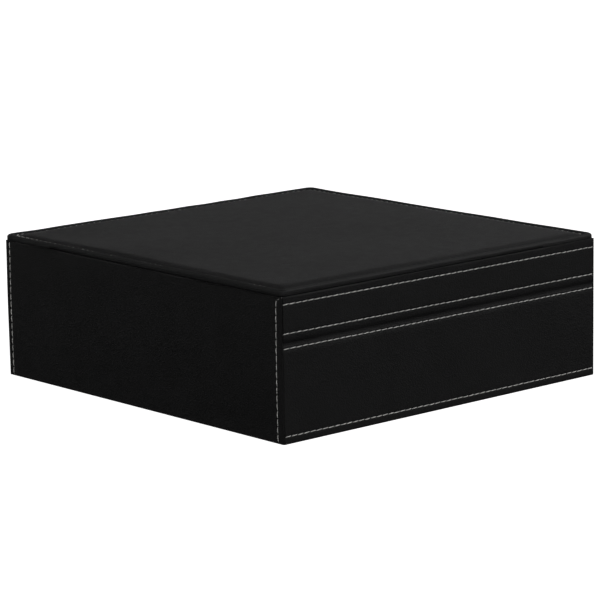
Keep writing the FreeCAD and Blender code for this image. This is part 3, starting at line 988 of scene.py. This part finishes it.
def make_dividers():
    """Frosted sheets with rounded corners and a finger notch."""
    corner, foot, notch, lip = 6.0, 1.2, 13.0, 1.6      # radii of the corners, the notch and its edges
    for index in range(1, 5):
        low, high = span(f"card_divider_{index}")
        x = (low[0] + high[0]) / 2
        outline = arc((low[0] + foot, low[2] + foot), foot, 180, 270, 5)
        outline += arc((high[0] - foot, low[2] + foot), foot, 270, 360, 5)
        outline += arc((high[0] - corner, high[2] - corner), corner, 0, 90, 9)
        outline += arc((x + notch + lip, high[2] - lip), lip, 90, 172, 6)
        outline += arc((x, high[2]), notch, -8, -172, 26)
        outline += arc((x - notch - lip, high[2] - lip), lip, 8, 90, 6)
        outline += arc((low[0] + corner, high[2] - corner), corner, 90, 180, 9)
        piece = flat_part(f"card_divider_sheet_{index}", np.array(outline), "y", low[1], high[1], 0.35,
                          PLASTIC, f"divider_{index}")
        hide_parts(f"card_divider_{index}")


make_partitions()
make_dividers()

# ------------------------------ inner CAD pieces

for node, material in (("base_board", BOARD), ("left_wall_board", BOARD), ("right_wall_board", BOARD),
                       ("back_wall_board", BOARD), ("front_panel_board", BOARD), ("flap_board", BOARD),
                       ("lid_board", BOARD), ("flap_keeper_plates", STEEL), ("lid_magnets", NICKEL)):
    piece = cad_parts[node]
    piece.data.materials.clear()
    piece.data.materials.append(material)

# ------------------------------ floor, light and camera

HORIZON_LIGHT, FRONT_LIGHT, RIGHT_LIGHT, BACK_LIGHT = 0.77, 1.05, 1.1, 1.2
AZIMUTH, ELEVATION, ROLL = -41.3, 11.2, 0.93        # of the camera, in degrees
FOCAL_WIDTHS = 4.895        # focal length in picture widths
CORNER = Vector((-HALF_W, -HALF_D, 0)) * MM         # the near bottom corner
SIGHT_RIGHT, SIGHT_DOWN, SIGHT_FAR = -0.0105, 0.0947, 1.910     # from the camera to it, in metres


def make_floor():
    """Plain white floor that glows softly, so that only a trace of shadow shows."""
    half, drop = 40.0, 0.0002       # metres
    mesh = bpy.data.meshes.new("floor")
    corners = [(x * half, y * half, -drop) for x, y in ((-1, -1), (1, -1), (1, 1), (-1, 1))]
    mesh.from_pydata(corners, [], [(0, 1, 2, 3)])
    floor = bpy.data.objects.new("floor", mesh)
    bpy.context.scene.collection.objects.link(floor)
    material, tree, inputs = shader("floor_paper")
    fleck = noise(tree, coordinates(tree), 30.0)
    tree.links.new(tint(tree, fleck, (0.90, 0.90, 0.90), (0.93, 0.93, 0.93)), inputs["Base Color"])
    inputs["Roughness"].default_value = 1.0
    inputs["Specular IOR Level"].default_value = 0.0
    inputs["Emission Color"].default_value = (1, 1, 1, 1)
    inputs["Emission Strength"].default_value = 0.95
    mesh.materials.append(material)
    floor.visible_diffuse = False
    floor.visible_glossy = False


def make_light():
    """Soft studio dome: a white horizon, broad lights front left and right, a high one back left."""
    world = bpy.data.worlds.new("studio")
    bpy.context.scene.world = world
    world.use_nodes = True
    tree = world.node_tree
    background = tree.nodes["Background"]
    where = tree.nodes.new("ShaderNodeTexCoord").outputs["Generated"]
    split = tree.nodes.new("ShaderNodeSeparateXYZ")
    tree.links.new(where, split.inputs[0])

    def combine(operation, a, b):
        node = tree.nodes.new("ShaderNodeMath")
        node.operation = operation
        for socket, value in zip(node.inputs, (a, b)):
            if isinstance(value, float):
                socket.default_value = value
            else:
                tree.links.new(value, socket)
        return node.outputs[0]

    def step(low, high):
        """0 below one elevation, 1 above another, in degrees."""
        node = tree.nodes.new("ShaderNodeMapRange")
        node.interpolation_type = "SMOOTHSTEP"
        node.inputs["From Min"].default_value = math.sin(math.radians(low))
        node.inputs["From Max"].default_value = math.sin(math.radians(high))
        tree.links.new(split.outputs["Z"], node.inputs["Value"])
        return node.outputs["Result"]

    def band(low, high):
        """1 between two elevations, each given as the start and end of its soft edge."""
        return combine("MULTIPLY", step(*low), combine("SUBTRACT", 1.0, step(*high)))

    def towards(azimuth):
        """1 towards an azimuth, 0 beside and behind it. 0 degrees is the front, 90 the right."""
        a = math.radians(azimuth)
        ahead = combine("ADD", combine("MULTIPLY", split.outputs["X"], math.sin(a)),
                        combine("MULTIPLY", split.outputs["Y"], -math.cos(a)))
        return combine("MAXIMUM", ahead, 0.0)

    horizon = band((-1.0, -0.5), (6.5, 8.5))
    dome = band((12.0, 20.0), (48.0, 58.0))
    front = combine("MULTIPLY", towards(AZIMUTH), FRONT_LIGHT)
    right = combine("MULTIPLY", towards(50.0), RIGHT_LIGHT)
    soft = combine("MULTIPLY", dome, combine("ADD", front, right))
    rear = towards(-150.0)
    rear = combine("MULTIPLY", combine("MULTIPLY", rear, rear), BACK_LIGHT)
    rear = combine("MULTIPLY", rear, band((30.0, 42.0), (62.0, 72.0)))
    soft = combine("ADD", soft, rear)
    level = combine("MULTIPLY", horizon, HORIZON_LIGHT)
    tree.links.new(combine("ADD", level, soft), background.inputs["Strength"])
    background.inputs["Color"].default_value = (1, 1, 1, 1)


def make_camera():
    """Long lens from the front left, a little above. The near bottom corner is placed in its view."""
    a, e, roll = (math.radians(v) for v in (AZIMUTH, ELEVATION, ROLL))
    back = Vector((math.sin(a) * math.cos(e), -math.cos(a) * math.cos(e), math.sin(e)))
    forward = -back
    level = forward.cross(Vector((0, 0, 1))).normalized()
    plumb = forward.cross(level)
    right = level * math.cos(roll) + plumb * math.sin(roll)
    down = plumb * math.cos(roll) - level * math.sin(roll)
    camera_data = bpy.data.cameras.new("camera")
    camera = bpy.data.objects.new("camera", camera_data)
    bpy.context.scene.collection.objects.link(camera)
    camera_data.lens = camera_data.sensor_width * FOCAL_WIDTHS
    camera_data.clip_start, camera_data.clip_end = 0.05, 60.0
    place = CORNER - right * SIGHT_RIGHT - down * SIGHT_DOWN - forward * SIGHT_FAR
    axes = Matrix((right, -down, back)).transposed()
    camera.matrix_world = Matrix.Translation(place) @ axes.to_4x4()
    bpy.context.scene.camera = camera


make_floor()
make_light()
make_camera()
bpy.context.scene.view_settings.view_transform = "Standard"
